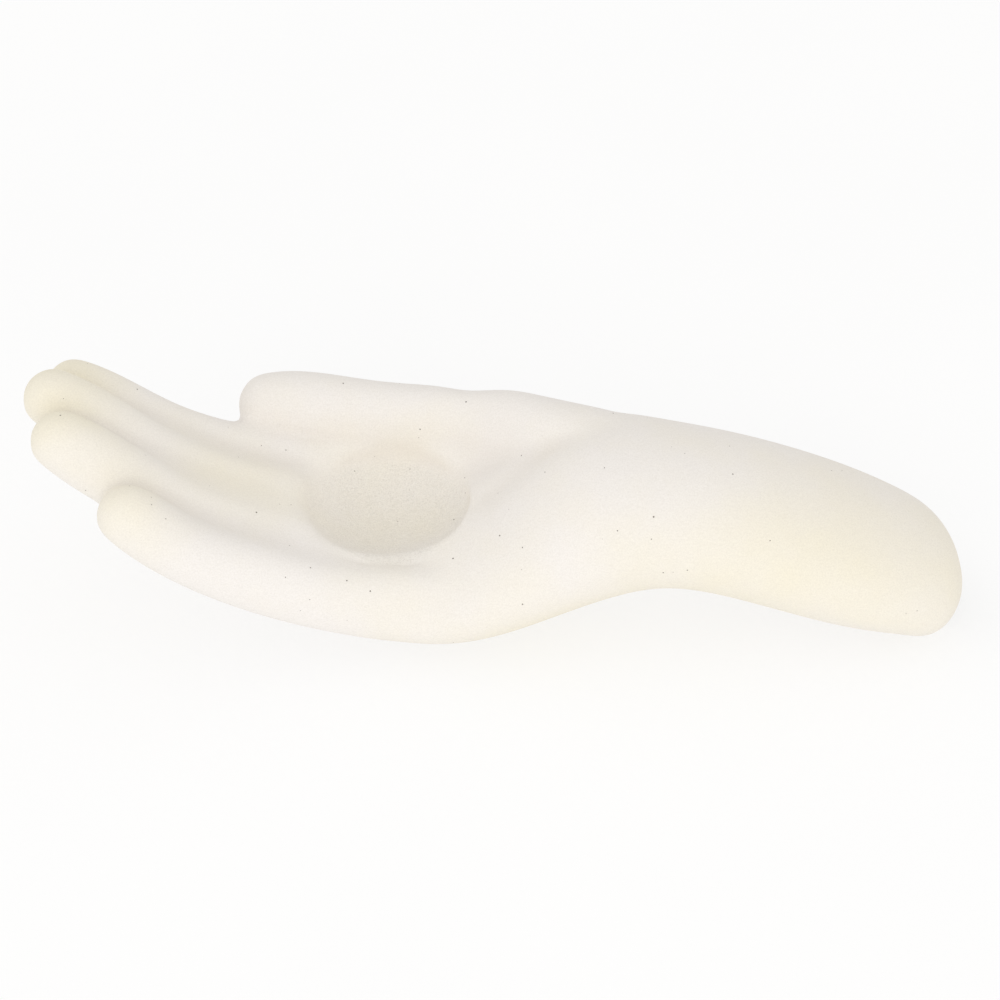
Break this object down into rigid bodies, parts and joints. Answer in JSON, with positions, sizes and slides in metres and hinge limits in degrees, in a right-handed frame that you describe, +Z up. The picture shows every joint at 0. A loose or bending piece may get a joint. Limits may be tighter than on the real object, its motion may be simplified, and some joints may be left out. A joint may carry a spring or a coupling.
{
  "type": "prosthetic hand",
  "caption": "Passive right prosthetic hand and forearm, palm up, seamless foam over a hidden skeleton with friction wrist, knuckle hinge and rotating threaded arm adapter.",
  "frame": {"origin": "middle of the underside of the whole part, on the plane its back rests on", "axes": "+Z up with the palm facing up, -X towards the fingertips, +Y towards the thumb"},
  "size_m": [0.3288, 0.1004, 0.0934],
  "materials": {
    "foam": "matte integral-skin foam, fine sandy grain with scattered pinholes",
    "tube_aluminium": "satin drawn tube",
    "machined_steel": "turned and milled, lightly brushed",
    "plate_steel": "cold-rolled sheet, light rolling marks",
    "zinc_screws": "zinc-plated fasteners",
    "spring_steel": "dark phosphated spring steel",
    "brass": "turned brass",
    "nylon": "natural nylon",
    "wire": "soft drawn aluminium wire",
    "cap_plastic": "dark moulded caps"
  },
  "bodies": {
    "forearm": {"forearm_foam": "foam", "wrist_foam": "foam", "forearm_tube": "tube_aluminium", "anchor_collar": "tube_aluminium", "collar_screw": "zinc_screws", "wrist_fork": "machined_steel", "fork_screws": "zinc_screws", "wrist_pin": "machined_steel", "disc_springs": "spring_steel", "wrist_nut": "zinc_screws", "rotation_housing": "tube_aluminium", "housing_screws": "zinc_screws", "friction_ring": "nylon", "friction_screw": "zinc_screws"},
    "adapter": {"rotation_spigot": "machined_steel", "thrust_washer": "brass", "retaining_ring": "spring_steel"},
    "hand": {"palm_foam": "foam", "knuckle_foam": "foam", "wrist_tongue": "machined_steel", "friction_washers": "nylon", "tongue_screws": "zinc_screws", "palm_plate": "plate_steel", "knuckle_bracket": "plate_steel", "bracket_screws": "zinc_screws", "knuckle_pin": "machined_steel", "knuckle_clip": "spring_steel", "knuckle_washers": "nylon", "thumb_wire": "wire", "thumb_tip_cap": "cap_plastic", "thumb_anchor": "tube_aluminium", "thumb_anchor_screws": "zinc_screws"},
    "fingers": {"finger_foam": "foam", "knuckle_leaf": "plate_steel", "wire_clamp_bar": "tube_aluminium", "clamp_screws": "zinc_screws", "index_wire": "wire", "middle_wire": "wire", "ring_wire": "wire", "little_wire": "wire", "finger_tip_caps": "cap_plastic"}
  },
  "joints": [
    {"name": "arm_rotation", "type": "hinge", "parent": "forearm", "child": "adapter", "pos_m": [0.15178, -0.00812, 0.01631], "axis": [0.9641, 0, -0.2656], "continuous": true},
    {"name": "wrist_flexion", "type": "hinge", "parent": "forearm", "child": "hand", "pos_m": [0.04766, -0.00812, 0.04499], "axis": [0, 1, 0], "range_deg": [-20, 30], "deforming": ["wrist_foam"]},
    {"name": "finger_flexion", "type": "hinge", "parent": "hand", "child": "fingers", "pos_m": [-0.10534, -0.00812, 0.04649], "axis": [0, 1, 0], "range_deg": [-10, 40], "deforming": ["knuckle_foam"]}
  ]
}
